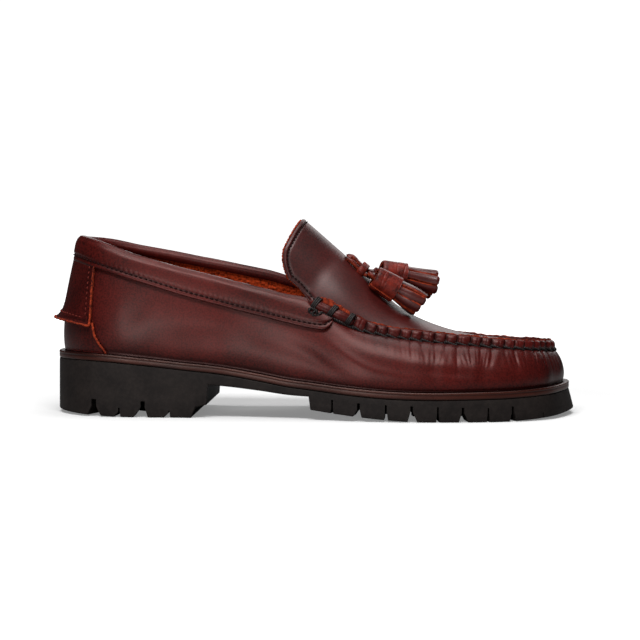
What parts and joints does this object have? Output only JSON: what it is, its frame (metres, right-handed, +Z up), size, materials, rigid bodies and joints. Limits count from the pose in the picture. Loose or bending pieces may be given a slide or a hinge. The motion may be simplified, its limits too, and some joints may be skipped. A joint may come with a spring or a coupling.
{
  "type": "tassel loafer",
  "caption": "Slip-on leather dress loafer, right shoe, with a puckered apron seam, tassels on a thong, padded collar and a lugged rubber sole with a heel.",
  "frame": {"origin": "centre of the shoe's bounding box at the ground, on the plane the tread stands on", "axes": "+X runs from the heel to the toe, +Y to the inner (medial) side of the foot, +Z up"},
  "size_m": [0.3034, 0.107, 0.1125],
  "materials": {
    "rubber": "matte",
    "edge": "satin",
    "footbed": "matte",
    "leather": "polished",
    "thong": "satin"
  },
  "bodies": {
    "root": {"outsole": "rubber", "midsole": "edge", "insole": "footbed", "upper": "leather", "collar": "leather", "backstay": "leather", "heel_counter": "leather", "apron_seam": "leather", "tassel_thong_near": "thong", "tassel_thong_far": "thong", "tassel_keeper": "thong", "tassel_cap_near": "thong", "tassel_cap_far": "thong", "tassel_fringe_near": "thong", "tassel_fringe_far": "thong"}
  },
  "joints": []
}
